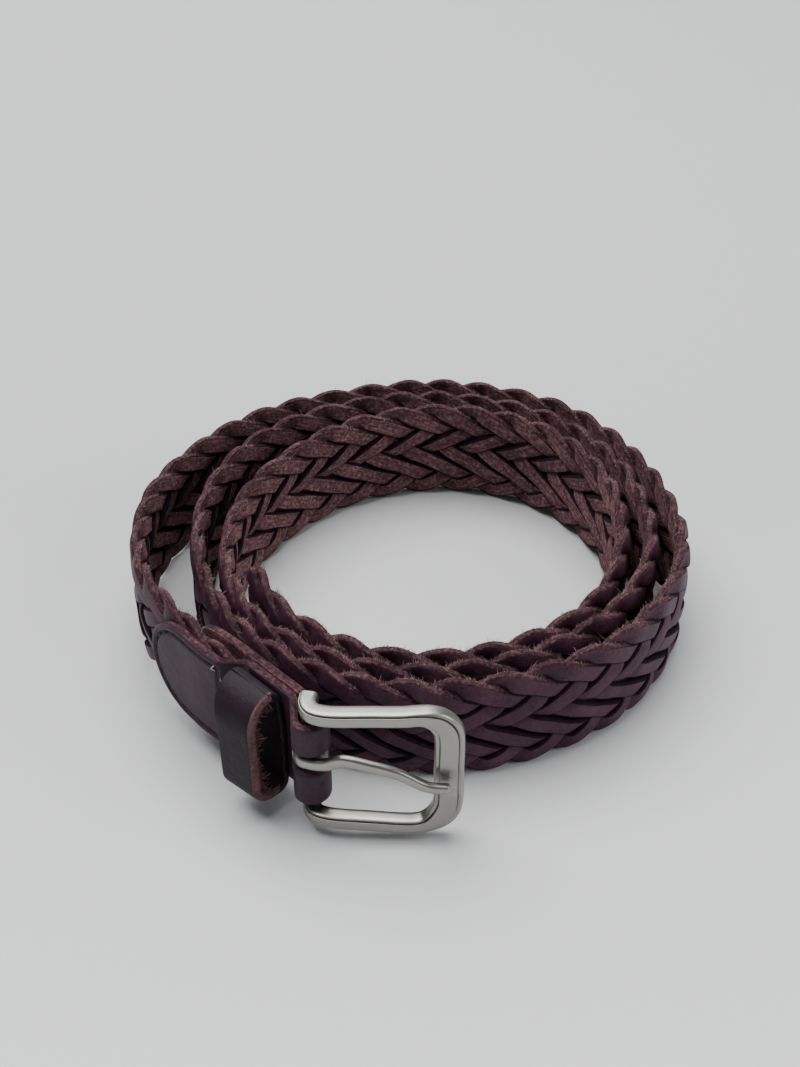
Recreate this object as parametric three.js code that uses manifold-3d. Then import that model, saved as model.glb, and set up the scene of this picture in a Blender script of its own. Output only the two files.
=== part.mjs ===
// Braided leather belt, coiled in a loose spiral and standing on its lower edge.
// Units are millimetres and +Z is up. The belt stands on the plane Z = 0, and the origin is the middle
// of its footprint. The buckle is at the front, towards -Y.
import * as THREE from 'three';
import { mergeVertices } from 'three/addons/utils/BufferGeometryUtils.js';
import Module from 'manifold-3d';

const wasm = await Module();
wasm.setup();

// The braid
const STRAP_WIDTH = 28;
const LACE_THICKNESS = 1.8;
const STRAP_THICKNESS = 2 * LACE_THICKNESS + 0.1;
const SCALLOP_PITCH = 10.1;
const SCALLOP_DEPTH = 1.3;
const STATIONS_PER_SCALLOP = 4;
// Half the section: the share of the thickness at a share of the width, from the foot up to the scallops
const STRAP_PROFILE = [
  { height: 0, thickness: 0.62 },
  { height: 0.11, thickness: 1 },
  { height: 0.48, thickness: 0.86 },
  { height: 0.86, thickness: 1 },
  { height: 1, thickness: 0.8 },
];

// The coil
const COIL_RADIUS = 58.8;
// Radii of the strap's middle, as shares of COIL_RADIUS, at one azimuth of the inner, middle and outer turn
const COIL_ROWS = [
  { azimuth: 200, inner: 0.706, middle: 0.793, outer: 0.890 },
  { azimuth: 230, inner: 0.752, middle: 0.857, outer: 0.935 },
  { azimuth: 260, inner: 0.810, middle: 0.888, outer: 0.974 },
  { azimuth: 290, inner: 0.826, middle: 0.896, outer: 0.990 },
  { azimuth: 320, inner: 0.829, middle: 0.914, outer: 1.030 },
  { azimuth: 350, inner: 0.819, middle: 0.933, outer: 1.056 },
  { azimuth: 380, inner: 0.838, middle: 0.929, outer: 1.024 },
  { azimuth: 410, inner: 0.838, middle: 0.929, outer: 1.028 },
  { azimuth: 440, inner: 0.792, middle: 0.891, outer: 0.988 },
  { azimuth: 470, inner: 0.730, middle: 0.870, outer: 0.962 },
  { azimuth: 500, inner: 0.700, middle: 0.884, outer: 1.027 },
  { azimuth: 530, inner: 0.729, middle: 0.881, outer: 1.097 },
];
const COIL_END_SHARE = 1.122;
// Length cut from the innermost end, which lies against the next turn
const TIP_TRIM = 3.6;

// The straight run to the buckle: the bar's place seen from the coil's middle, as shares of COIL_RADIUS
const BAR_X_SHARE = -0.381;
const BAR_Y_SHARE = -1.195;
const RUN_AZIMUTH = -45.7;
const RUN_LENGTH = 34;
// How far the strap's lower edge rises towards the buckle, and over what length
const LIFT_LENGTH = 84;

// The tab: its height is a share of the strap's width, and the height at the fold a share of the tab's
const TAB_HEIGHT_SHARE = 0.8786;
const FOLD_HEIGHT_SHARE = 0.87;
const TAB_HEIGHT = TAB_HEIGHT_SHARE * STRAP_WIDTH;
const FOLD_HEIGHT = FOLD_HEIGHT_SHARE * TAB_HEIGHT;
const FOLD_BLEND = 7;
// Share of the braid's height that is lost between the tab's layers, in full nearer to the bar than the
// first length and not at all beyond the second
const BRAID_DRAWN_IN = 0.15;
const DRAWN_IN_FROM = 20;
const DRAWN_IN_TO = 55;
const TAB_THICKNESS = 2.0;
const TAB_LENGTH = 49;
const TAB_BACK_LENGTH = 42;
const TAB_END_ROUND = 13;
// Sections of the tab: shares of the round end's length, and counts along the straight and round the fold
const TAB_END_SHARES = [0.012, 0.05, 0.12, 0.22, 0.36, 0.55, 0.8, 1];
const TAB_STRAIGHT_STEPS = 24;
const TAB_FOLD_STEPS = 10;
const SEAT_GAP = 0.3;
// Behind the bar the tab's outer layer is pressed towards the inner one, and the braid ends where it begins
// to rise again. The setbacks are where it has sunk in full, where it begins to rise and where it has risen.
const NECK_DIP = 4;
const NECK_NEAR = 6.6;
const NECK_FAR = 18.9;
const NECK_END = 24.5;
const BRAID_END_SETBACK = 21;
const SLOT_HEIGHT = 5.4;
const SLOT_REACH = 4.7;

// The keeper
const KEEPER_WIDTH = 9.4;
const KEEPER_THICKNESS = 2.2;
const KEEPER_SETBACK = 6.8;
// The band's wall on the tab is thinner than the rest, which stands off it by the room
const KEEPER_BACK_THICKNESS = 1.2;
const KEEPER_ROOM = 5.95;
// Radii inside the band's corners: upper and lower front, and both at the back
const KEEPER_UPPER_CORNER = 5.2;
const KEEPER_LOWER_CORNER = 2.8;
const KEEPER_BACK_CORNER = 0.8;
// The band's outer height as a share of the tab's, and how far its middle is below the tab's
const KEEPER_HEIGHT_SHARE = 1.122;
const KEEPER_DROP = 0.6;
// How much farther out the front stands at the edge away from the buckle, and how far back the top of the
// band leans at the edge near the buckle and at the far one
const KEEPER_FLARE = 0.9;
const KEEPER_NEAR_LEAN = 1.2;
const KEEPER_FAR_LEAN = 2.6;
const CORNER_POINTS = 7;

// The buckle
const FRAME_AZIMUTH = -4;
const FRAME_LENGTH = 31.4;
const FRAME_ARM_HEIGHT = 3.6;
const FRAME_ARM_DEPTH = 3.8;
const FRAME_END_WIDTH = 6.2;
const FRAME_END_DEPTH = 3.4;
// The window is nearly as high as the strap is wide, so that the free end goes through it
const WINDOW_HEIGHT_SHARE = 0.9786;
const WINDOW_HEIGHT = WINDOW_HEIGHT_SHARE * STRAP_WIDTH;
// How much nearer to the middle each arm is at the bar than at its far end
const FRAME_TAPER = 0.9;
const FRAME_CORNER = 6.5;
const FRAME_ARCH = 3.4;
const FRAME_END_ARCH = 1.7;
const CORNER_STEPS = 5;
// An arm's middle line as shares: along FRAME_LENGTH, out by FRAME_ARCH, and how much of the taper is gone
const ARM_ROUTE = [
  { along: 0, out: -0.53, spread: 0 },
  { along: -0.004, out: 0.12, spread: 0 },
  { along: 0.029, out: 0.72, spread: 0 },
  { along: 0.109, out: 1, spread: 0.1 },
  { along: 0.42, out: 1, spread: 0.6 },
  { along: 0.62, out: 0.95, spread: 0.9 },
];
const ARM_CORNER_OUT = 0.85;
const FRAME_STEPS = 64;
const SECTION_SIDES = 8;
const ROUND_SIDES = 24;
// How far the frame hangs clear of the surface that the coil stands on
const FRAME_FOOT_GAP = 1.8;
const BAR_RADIUS = 1.7;
const PRONG_GAP = 0.3;
const PRONG_HEIGHT = 2.8;
const PRONG_DEPTH = 1.9;
const PRONG_RING_RADIUS = 3.8;
// The ring's middle height above the buckle's middle, and how much slimmer the shank is at its end
const PRONG_START = 0.6;
const PRONG_TAPER = 0.2;
const PRONG_STEPS = 24;
// The shank's middle line as shares: the distance from the bar by FRAME_LENGTH, how far in from the line on
// which it rests on the frame's end by PRONG_DEPTH, and the height above the buckle's middle by PRONG_HEIGHT
const SHANK_ROUTE = [
  { distance: 0.019, inward: 0.816, height: 0.214 },
  { distance: 0.108, inward: 0.553, height: 0.393 },
  { distance: 0.223, inward: 0.316, height: 1.036 },
  { distance: 0.382, inward: 0, height: 0.893 },
  { distance: 0.573, inward: -0.105, height: 0.321 },
  { distance: 0.771, inward: -0.053, height: -0.929 },
  { distance: 0.917, inward: 0, height: -1.036 },
];

// Sizes that follow from those above
const barGap = STRAP_THICKNESS / 2 + SEAT_GAP;
const tabOuter = barGap + TAB_THICKNESS;
const endPlace = FRAME_LENGTH - FRAME_END_WIDTH / 2;
const frameHeight = WINDOW_HEIGHT + 2 * FRAME_ARM_HEIGHT;
const buckleMiddle = frameHeight / 2 + FRAME_FOOT_GAP;
const strapLift = buckleMiddle - STRAP_WIDTH / 2;
const barPlace = new THREE.Vector3(BAR_X_SHARE * COIL_RADIUS, BAR_Y_SHARE * COIL_RADIUS, 0);

const radians = THREE.MathUtils.degToRad;
const unit = (azimuth) => new THREE.Vector3(Math.cos(radians(azimuth)), Math.sin(radians(azimuth)), 0);
const runDirection = unit(RUN_AZIMUTH);
const runOutward = unit(RUN_AZIMUTH - 90);
const frameDirection = unit(FRAME_AZIMUTH);
const frameOutward = unit(FRAME_AZIMUTH - 90);

// A closed solid from rings of points: neighbours are joined, and an open row of rings gets two end caps.
function loft(rings, closed = false) {
  const count = rings[0].length;
  const position = rings.flat().flatMap((point) => point.toArray());
  const index = [];
  const steps = closed ? rings.length : rings.length - 1;
  for (let i = 0; i < steps; i += 1) {
    const here = i * count;
    const next = ((i + 1) % rings.length) * count;
    for (let j = 0; j < count; j += 1) {
      const k = (j + 1) % count;
      index.push(here + j, next + j, next + k);
      index.push(here + j, next + k, here + k);
    }
  }
  if (!closed) {
    for (const [ring, flip] of [[0, true], [rings.length - 1, false]]) {
      const middle = rings[ring].reduce((sum, point) => sum.add(point), new THREE.Vector3());
      middle.divideScalar(count);
      const apex = position.length / 3;
      position.push(...middle.toArray());
      for (let j = 0; j < count; j += 1) {
        const a = ring * count + j;
        const b = ring * count + ((j + 1) % count);
        index.push(...(flip ? [apex, a, b] : [apex, b, a]));
      }
    }
  }
  const geometry = new THREE.BufferGeometry();
  geometry.setAttribute('position', new THREE.Float32BufferAttribute(position, 3));
  geometry.setIndex(index);
  return facingOut(geometry);
}

// The signed volume is the sum of the tetrahedra from the origin; a negative one turns every face round.
function facingOut(geometry) {
  const index = geometry.getIndex().array;
  const place = geometry.getAttribute('position');
  const [a, b, c] = [new THREE.Vector3(), new THREE.Vector3(), new THREE.Vector3()];
  let volume = 0;
  for (let i = 0; i < index.length; i += 3) {
    a.fromBufferAttribute(place, index[i]);
    b.fromBufferAttribute(place, index[i + 1]);
    c.fromBufferAttribute(place, index[i + 2]);
    volume += a.dot(b.cross(c));
  }
  if (volume < 0) {
    geometry.setIndex(Array.from(index).reverse());
  }
  return geometry;
}

function solid(geometry) {
  const bare = geometry.clone();
  bare.deleteAttribute('normal');
  bare.deleteAttribute('uv');
  const merged = mergeVertices(bare, 1e-4);
  const mesh = new wasm.Mesh({
    numProp: 3,
    vertProperties: new Float32Array(merged.getAttribute('position').array),
    triVerts: new Uint32Array(merged.getIndex().array),
  });
  return new wasm.Manifold(mesh);
}

function fromSolid(body) {
  const mesh = body.getMesh();
  const geometry = new THREE.BufferGeometry();
  geometry.setAttribute('position', new THREE.Float32BufferAttribute(mesh.vertProperties, 3));
  geometry.setIndex(Array.from(mesh.triVerts));
  return geometry;
}

// The strap's middle line: the coil's stations, then a straight run that ends at the buckle's bar.
function strapRoute() {
  const turns = ['inner', 'middle', 'outer'];
  const stations = turns.flatMap((turn) => COIL_ROWS.map((row) => ({ azimuth: row.azimuth, share: row[turn] })));
  stations.push({ azimuth: COIL_ROWS[0].azimuth, share: COIL_END_SHARE });
  const points = stations.map(({ azimuth, share }) => (
    unit(azimuth).multiplyScalar(share * COIL_RADIUS)));
  for (const share of [1, 2 / 3, 1 / 3, 0]) {
    points.push(barPlace.clone().addScaledVector(runDirection, -share * RUN_LENGTH));
  }
  return new THREE.CatmullRomCurve3(points, false, 'centripetal');
}

const route = strapRoute();
route.arcLengthDivisions = 2000;
const routeLength = route.getLength();

// A place on the route, by the length that is left to the bar, with the direction that points out of the coil.
function onRoute(setback) {
  const share = THREE.MathUtils.clamp(1 - setback / routeLength, 0, 1);
  const place = route.getPointAt(share);
  const along = route.getTangentAt(share);
  return { place, outward: new THREE.Vector3(along.y, -along.x, 0) };
}

// The strap stands on its edge, and its last stretch rises to the buckle's middle height.
function lift(setback) {
  return strapLift * (1 - THREE.MathUtils.smoothstep(setback, RUN_LENGTH, RUN_LENGTH + LIFT_LENGTH));
}

// The braid as one band: its upper edge has a rounded scallop for each lace that turns there.
function braidedStrap() {
  const length = routeLength - TIP_TRIM - BRAID_END_SETBACK;
  const scallops = Math.round(length / SCALLOP_PITCH);
  const steps = scallops * STATIONS_PER_SCALLOP;
  const half = STRAP_THICKNESS / 2;
  const rings = [];
  for (let i = 0; i <= steps; i += 1) {
    const setback = BRAID_END_SETBACK + length * (1 - i / steps);
    const { place, outward } = onRoute(setback);
    const phase = (i % STATIONS_PER_SCALLOP) / STATIONS_PER_SCALLOP;
    const dip = SCALLOP_DEPTH * (1 - Math.sin(Math.PI * phase));
    const profile = STRAP_PROFILE.map(({ height, thickness }) => (
      [thickness * half, height * STRAP_WIDTH - (height === 1 ? dip : 0)]));
    // Between the tab's two layers the braid is drawn in to the tab's height
    const squeeze = 1 - BRAID_DRAWN_IN * (1 - THREE.MathUtils.smoothstep(setback, DRAWN_IN_FROM, DRAWN_IN_TO));
    const inner = profile.map(([offset, z]) => [-offset, z]).reverse();
    const thinned = 1 - neckDip(setback) / STRAP_THICKNESS;
    rings.push([...profile, ...inner].map(([offset, z]) => (
      place.clone().addScaledVector(outward, (offset + half) * thinned - half)
        .setZ(STRAP_WIDTH / 2 + (z - STRAP_WIDTH / 2) * squeeze + lift(setback)))));
  }
  return loft(rings);
}

// How far the tab's outer layer has sunk towards the inner one.
function neckDip(setback) {
  const sunk = THREE.MathUtils.smoothstep(setback, 0, NECK_NEAR);
  const risen = THREE.MathUtils.smoothstep(setback, NECK_FAR, NECK_END);
  return NECK_DIP * sunk * (1 - risen);
}

// Half the tab's height at a distance from its end: an ellipse, then the full height.
function tabHalfHeight(distance) {
  const share = Math.min(distance / TAB_END_ROUND, 1);
  return (TAB_HEIGHT / 2) * Math.sqrt(1 - (1 - share) ** 2);
}

// The tab is one strip: from the U end along the outside, round the bar, and back along the inside.
function buckleTab() {
  const middle = barGap + TAB_THICKNESS / 2;
  const rings = [];
  const station = (setback, side, distance) => {
    const { place, outward } = onRoute(setback);
    const waist = THREE.MathUtils.smoothstep(setback, 0, FOLD_BLEND);
    const half = Math.min(tabHalfHeight(distance), THREE.MathUtils.lerp(FOLD_HEIGHT, TAB_HEIGHT, waist) / 2);
    const offset = side > 0 ? middle - neckDip(setback) : -middle;
    const near = place.clone().addScaledVector(outward, offset - side * (TAB_THICKNESS / 2));
    const far = place.clone().addScaledVector(outward, offset + side * (TAB_THICKNESS / 2));
    const base = lift(setback) + STRAP_WIDTH / 2;
    rings.push([
      near.clone().setZ(base - half), far.clone().setZ(base - half),
      far.clone().setZ(base + half), near.clone().setZ(base + half)]);
  };
  const run = (total, side) => {
    const shares = TAB_END_SHARES.map((share) => share * TAB_END_ROUND);
    for (let i = 1; i < TAB_STRAIGHT_STEPS; i += 1) {
      shares.push(TAB_END_ROUND + (total - TAB_END_ROUND) * Math.sin((Math.PI / 2) * (i / TAB_STRAIGHT_STEPS)));
    }
    const ordered = side > 0 ? shares : shares.reverse();
    ordered.forEach((distance) => station(total - distance, side, distance));
  };
  run(TAB_LENGTH, 1);
  for (let i = 0; i <= TAB_FOLD_STEPS; i += 1) {
    const turn = Math.PI * (i / TAB_FOLD_STEPS);
    const away = runOutward.clone().multiplyScalar(Math.cos(turn)).addScaledVector(runDirection, Math.sin(turn));
    const near = barPlace.clone().addScaledVector(away, barGap);
    const far = barPlace.clone().addScaledVector(away, tabOuter);
    const low = buckleMiddle - FOLD_HEIGHT / 2;
    const high = buckleMiddle + FOLD_HEIGHT / 2;
    rings.push([near.clone().setZ(low), far.clone().setZ(low), far.clone().setZ(high), near.clone().setZ(high)]);
  }
  run(TAB_BACK_LENGTH, -1);
  const slotLength = 2 * (tabOuter + 1) + SLOT_REACH;
  const slot = new THREE.BoxGeometry(slotLength, 4 * tabOuter, SLOT_HEIGHT);
  slot.translate(slotLength / 2 - SLOT_REACH, 0, buckleMiddle + PRONG_START);
  slot.rotateZ(radians(RUN_AZIMUTH));
  slot.translate(barPlace.x, barPlace.y, 0);
  return fromSolid(solid(loft(rings)).subtract(solid(slot)));
}

// The band's outline seen along the strap: distances outward and heights from its middle, with a radius for
// the upper front, the upper back, the lower back and the lower front corner in turn.
function bandOutline(back, front, halfHeight, radii) {
  const corners = [[front, halfHeight], [back, halfHeight], [back, -halfHeight], [front, -halfHeight]];
  return corners.flatMap(([depth, height], quarter) => Array.from({ length: CORNER_POINTS }, (_, i) => {
    const angle = (Math.PI / 2) * (quarter + i / (CORNER_POINTS - 1));
    const radius = radii[quarter];
    return [
      depth - Math.sign(depth - (back + front) / 2) * radius + radius * Math.cos(angle),
      height - Math.sign(height) * radius + radius * Math.sin(angle)];
  }));
}

// The keeper is a closed band whose thin back lies on the tab and whose front stands off it.
function keeperLoop() {
  const seat = tabOuter - NECK_DIP + SEAT_GAP;
  const back = seat + KEEPER_BACK_THICKNESS;
  const halfHeight = (KEEPER_HEIGHT_SHARE * TAB_HEIGHT) / 2 - KEEPER_THICKNESS;
  const radii = [KEEPER_UPPER_CORNER, KEEPER_BACK_CORNER, KEEPER_BACK_CORNER, KEEPER_LOWER_CORNER];
  const outerRadii = radii.map((radius) => radius + KEEPER_THICKNESS);
  const ringsAt = (setback, flare, topLean) => {
    const front = back + KEEPER_ROOM + flare;
    const inner = bandOutline(back, front, halfHeight, radii);
    const outer = bandOutline(seat, front + KEEPER_THICKNESS, halfHeight + KEEPER_THICKNESS, outerRadii);
    return [inner, outer].map((outline) => outline.map(([depth, height]) => {
      const lean = topLean * (Math.max(0, height) / halfHeight) ** 2;
      return barPlace.clone().addScaledVector(runDirection, -setback - lean)
        .addScaledVector(runOutward, depth).setZ(buckleMiddle - KEEPER_DROP + height);
    }));
  };
  const [nearInner, nearOuter] = ringsAt(KEEPER_SETBACK, 0, KEEPER_NEAR_LEAN);
  const [farInner, farOuter] = ringsAt(KEEPER_SETBACK + KEEPER_WIDTH, KEEPER_FLARE, KEEPER_FAR_LEAN);
  return loft(nearInner.map((point, i) => [point, nearOuter[i], farOuter[i], farInner[i]]), true);
}

// A place on the buckle: the distance from the bar, the distance out of its plane, and the height.
function onBuckle(distance, out, height) {
  return barPlace.clone().addScaledVector(frameDirection, distance).addScaledVector(frameOutward, out)
    .setZ(buckleMiddle + height);
}

// The frame's middle line, from the bar's upper end round to its lower end.
function frameRoute() {
  const armHeight = frameHeight / 2 - FRAME_ARM_HEIGHT / 2;
  const barHeight = armHeight - FRAME_TAPER;
  const upper = ARM_ROUTE.map(({ along, out, spread }) => (
    [along * FRAME_LENGTH, out * FRAME_ARCH, barHeight + spread * FRAME_TAPER]));
  for (let i = 0; i <= CORNER_STEPS; i += 1) {
    const turn = (Math.PI / 2) * (i / CORNER_STEPS);
    const out = THREE.MathUtils.lerp(FRAME_ARCH * ARM_CORNER_OUT, FRAME_END_ARCH, Math.sin(turn));
    upper.push([
      endPlace - FRAME_CORNER * (1 - Math.sin(turn)), out, armHeight - FRAME_CORNER * (1 - Math.cos(turn))]);
  }
  const lower = upper.map(([distance, out, height]) => [distance, out, -height]).reverse();
  const middle = [endPlace, FRAME_END_ARCH, 0];
  return [...upper, middle, ...lower].map(([distance, out, height]) => onBuckle(distance, out, height));
}

// An eight-sided section whose flats lie at two half sizes from its middle.
function eightSided(place, across, halfWidth, out, halfDepth) {
  const stretch = 1 / Math.cos(Math.PI / SECTION_SIDES);
  return Array.from({ length: SECTION_SIDES }, (_, j) => {
    const angle = (2 * Math.PI * (j + 0.5)) / SECTION_SIDES;
    return place.clone().addScaledVector(across, halfWidth * stretch * Math.cos(angle))
      .addScaledVector(out, halfDepth * stretch * Math.sin(angle));
  });
}

// The frame is a bar of eight-sided section that widens towards the end, joined to the round bar.
function buckleFrame() {
  const curve = new THREE.CatmullRomCurve3(frameRoute(), false, 'centripetal');
  const { normals, binormals } = curve.computeFrenetFrames(FRAME_STEPS, false);
  const rings = normals.map((normal, i) => {
    const place = curve.getPointAt(i / FRAME_STEPS);
    const distance = place.clone().sub(barPlace).dot(frameDirection);
    const share = THREE.MathUtils.smoothstep(distance, endPlace - FRAME_CORNER, endPlace);
    const width = THREE.MathUtils.lerp(FRAME_ARM_HEIGHT, FRAME_END_WIDTH, share) / 2;
    const depth = THREE.MathUtils.lerp(FRAME_ARM_DEPTH, FRAME_END_DEPTH, share) / 2;
    return eightSided(place, normal, width, binormals[i], depth);
  });
  const barEnd = frameHeight / 2 - FRAME_ARM_HEIGHT / 2 - FRAME_TAPER;
  return fromSolid(solid(loft(rings)).add(solid(post(BAR_RADIUS, 2 * barEnd, 0))));
}

// The prong is a ring round the bar and a shank that crosses the window and rests on the frame's end.
function buckleProng() {
  const ring = solid(post(PRONG_RING_RADIUS, PRONG_HEIGHT, PRONG_START))
    .subtract(solid(post(BAR_RADIUS + PRONG_GAP, 2 * PRONG_HEIGHT, PRONG_START)));
  const restOut = FRAME_END_ARCH + FRAME_END_DEPTH / 2 + PRONG_GAP + PRONG_DEPTH / 2;
  const curve = new THREE.CatmullRomCurve3(SHANK_ROUTE.map(({ distance, inward, height }) => onBuckle(
    distance * FRAME_LENGTH, restOut - inward * PRONG_DEPTH, height * PRONG_HEIGHT)), false, 'centripetal');
  const rings = [];
  for (let i = 0; i <= PRONG_STEPS; i += 1) {
    const along = curve.getTangentAt(i / PRONG_STEPS);
    const out = frameOutward.clone().addScaledVector(along, -along.dot(frameOutward)).normalize();
    const across = new THREE.Vector3().crossVectors(along, out);
    const half = (1 - PRONG_TAPER * (i / PRONG_STEPS)) / 2;
    rings.push(eightSided(curve.getPointAt(i / PRONG_STEPS), across, PRONG_HEIGHT * half, out, PRONG_DEPTH * half));
  }
  return fromSolid(ring.add(solid(loft(rings))));
}

// An upright cylinder on the bar's axis, its middle at a height from the buckle's middle.
function post(radius, height, middle) {
  const geometry = new THREE.CylinderGeometry(radius, radius, height, ROUND_SIDES);
  geometry.rotateX(Math.PI / 2);
  geometry.translate(barPlace.x, barPlace.y, buckleMiddle + middle);
  return geometry;
}

const pieces = [
  { name: 'braided_strap', geometry: braidedStrap(), color: 0x33242a, metalness: 0, roughness: 0.6 },
  { name: 'buckle_tab', geometry: buckleTab(), color: 0x3a2930, metalness: 0, roughness: 0.55 },
  { name: 'keeper_loop', geometry: keeperLoop(), color: 0x3a2930, metalness: 0, roughness: 0.55 },
  { name: 'buckle_frame', geometry: buckleFrame(), color: 0xa5a39e, metalness: 1, roughness: 0.35 },
  { name: 'buckle_prong', geometry: buckleProng(), color: 0xa5a39e, metalness: 1, roughness: 0.35 },
];

// The whole belt is moved so that the middle of its footprint is the origin.
const whole = new THREE.Box3();
for (const { geometry } of pieces) {
  geometry.computeBoundingBox();
  whole.union(geometry.boundingBox);
}
const middle = whole.getCenter(new THREE.Vector3());

const belt = new THREE.Group();
belt.name = 'braided_belt';
for (const { name, geometry, color, metalness, roughness } of pieces) {
  geometry.translate(-middle.x, -middle.y, 0);
  const mesh = new THREE.Mesh(geometry, new THREE.MeshStandardMaterial({ color, metalness, roughness }));
  mesh.name = name;
  belt.add(mesh);
}

export default belt;
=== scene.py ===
# %% [markdown]
# # A braided belt, coiled up
#
# This lesson builds the looks of a braided leather belt around its CAD part. The belt stands on its edge,
# wound in a loose spiral. Nine flat laces cross each other in a regular pattern, so the whole braid comes
# from a few periodic functions. The smooth tab, the keeper and the metal buckle are profiles carried along
# a path.
#
# All sizes are in millimetres until a mesh is made, and Blender's unit is the metre.

import bpy
import numpy as np
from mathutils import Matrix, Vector


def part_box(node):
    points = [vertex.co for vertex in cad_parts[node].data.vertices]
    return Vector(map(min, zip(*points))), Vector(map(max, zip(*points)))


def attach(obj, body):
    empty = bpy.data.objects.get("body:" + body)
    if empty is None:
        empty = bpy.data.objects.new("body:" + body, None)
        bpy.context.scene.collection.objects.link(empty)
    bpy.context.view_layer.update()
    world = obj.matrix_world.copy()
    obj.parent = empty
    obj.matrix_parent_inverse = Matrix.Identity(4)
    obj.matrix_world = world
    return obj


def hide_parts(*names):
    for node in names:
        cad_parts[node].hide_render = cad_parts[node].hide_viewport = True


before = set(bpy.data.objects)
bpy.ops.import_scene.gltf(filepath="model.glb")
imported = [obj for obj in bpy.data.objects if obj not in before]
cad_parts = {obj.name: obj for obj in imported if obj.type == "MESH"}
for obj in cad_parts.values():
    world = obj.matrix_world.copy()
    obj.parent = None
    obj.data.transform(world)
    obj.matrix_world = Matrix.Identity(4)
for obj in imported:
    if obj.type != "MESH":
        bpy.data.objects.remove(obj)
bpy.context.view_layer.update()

# %% [markdown]
# ## Named sizes
#
# These are the CAD part's sizes again. A scene stands alone, so it repeats them, and the first measured
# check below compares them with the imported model.

# %% Sizes of the belt
STRAP_WIDTH = 28.0
COIL_RADIUS = 58.8
COIL_AZIMUTHS = np.arange(200.0, 560.0, 30.0)
INNER_TURN = [0.706, 0.752, 0.810, 0.826, 0.829, 0.819, 0.838, 0.838, 0.792, 0.730, 0.700, 0.729]
MIDDLE_TURN = [0.793, 0.857, 0.888, 0.896, 0.914, 0.933, 0.929, 0.929, 0.891, 0.870, 0.884, 0.881]
OUTER_TURN = [0.890, 0.935, 0.974, 0.990, 1.030, 1.056, 1.024, 1.028, 0.988, 0.962, 1.027, 1.097]
COIL_END_SHARE = 1.122
ROUTE_STEPS = 400
TIP_TRIM = 3.6
BAR = np.array([-0.381, -1.195]) * COIL_RADIUS
RUN_AZIMUTH = -45.7
RUN_LENGTH = 34.0
LIFT_LENGTH = 84.0
WINDOW_HEIGHT, ARM_HEIGHT, FOOT_GAP = 27.4, 3.6, 1.8
BUCKLE_MIDDLE = WINDOW_HEIGHT / 2 + ARM_HEIGHT + FOOT_GAP
STRAP_LIFT = BUCKLE_MIDDLE - STRAP_WIDTH / 2
BRAID_END_SETBACK = 21.0
NECK_DIP, NECK_NEAR, NECK_FAR, NECK_END = 4.0, 6.6, 18.9, 24.5
BRAID_DRAWN_IN, DRAWN_IN_FROM, DRAWN_IN_TO = 0.15, 20.0, 55.0
BAND_THICKNESS = 3.7
print(f"the buckle's middle is {BUCKLE_MIDDLE:.1f} mm up; the strap rises {STRAP_LIFT:.1f} mm to meet it")

# %% [markdown]
# ## The route
#
# A Catmull-Rom spline passes through every point that it is given. The centripetal kind spaces its knots by
# the square root of the distance, which keeps it free of loops where the points are uneven.


# %% The route that the strap follows
def unit(azimuth):
    """The level direction at an azimuth in degrees: its cosine and its sine."""
    turn = np.radians(azimuth)
    return np.stack([np.cos(turn), np.sin(turn)], -1)


def unit_length(vectors):
    """The same directions, each with length one."""
    return vectors / np.linalg.norm(vectors, axis=-1, keepdims=True)


def length_along(points):
    """For each point of a line, the sum of the steps that lead to it."""
    return np.concatenate([[0], np.cumsum(np.linalg.norm(np.diff(points, axis=0), axis=1))])


def catmull_rom(points, steps):
    """Centripetal Catmull-Rom: a cubic for each span, whose end slopes come from the neighbours, weighted
    by the square roots of the three distances."""
    points = np.asarray(points, float)
    padded = np.vstack([2 * points[0] - points[1], points, 2 * points[-1] - points[-2]])
    a, b, c, d = padded[:-3], padded[1:-2], padded[2:-1], padded[3:]
    gap = [np.sqrt(np.linalg.norm(q - p, axis=1))[:, None] for p, q in ((a, b), (b, c), (c, d))]
    slope_b = ((b - a) / gap[0] - (c - a) / (gap[0] + gap[1]) + (c - b) / gap[1]) * gap[1]
    slope_c = ((c - b) / gap[1] - (d - b) / (gap[1] + gap[2]) + (d - c) / gap[2]) * gap[1]
    t = np.linspace(0, 1, steps, endpoint=False)[None, :, None]
    b, c, slope_b, slope_c = (v[:, None, :] for v in (b, c, slope_b, slope_c))
    curve = (b * (2 * t**3 - 3 * t**2 + 1) + c * (3 * t**2 - 2 * t**3)
             + slope_b * (t**3 - 2 * t**2 + t) + slope_c * (t**3 - t**2))
    return np.vstack([curve.reshape(-1, points.shape[1]), points[-1]])


radii = np.array(INNER_TURN + MIDDLE_TURN + OUTER_TURN + [COIL_END_SHARE]) * COIL_RADIUS
azimuths = np.concatenate([COIL_AZIMUTHS, COIL_AZIMUTHS, COIL_AZIMUTHS, COIL_AZIMUTHS[:1]])
run_back = -np.outer(np.array([1, 2 / 3, 1 / 3, 0]) * RUN_LENGTH, unit(RUN_AZIMUTH))
route = catmull_rom(np.vstack([unit(azimuths) * radii[:, None], BAR + run_back]), ROUTE_STEPS)
route_length = length_along(route)
route_slope = np.gradient(route, route_length, axis=0)
LENGTH = route_length[-1]
print(f"the route is {LENGTH:.0f} mm long")


# %% [markdown]
# A point on the belt has three coordinates: the length along the route, the height, and the distance out of
# the route. One function turns them into a place in the row frame.

# %% From belt coordinates to places
def smooth(low, high, value):
    """Smoothstep: 0 below low, 1 above high, and three t squared less two t cubed between them."""
    t = np.clip((value - low) / (high - low), 0, 1)
    return t * t * (3 - 2 * t)


def lift(along):
    """How far the strap's lower edge is above the floor: nothing on the coil, all on the straight run."""
    return STRAP_LIFT * (1 - smooth(RUN_LENGTH, RUN_LENGTH + LIFT_LENGTH, LENGTH - along))


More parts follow.
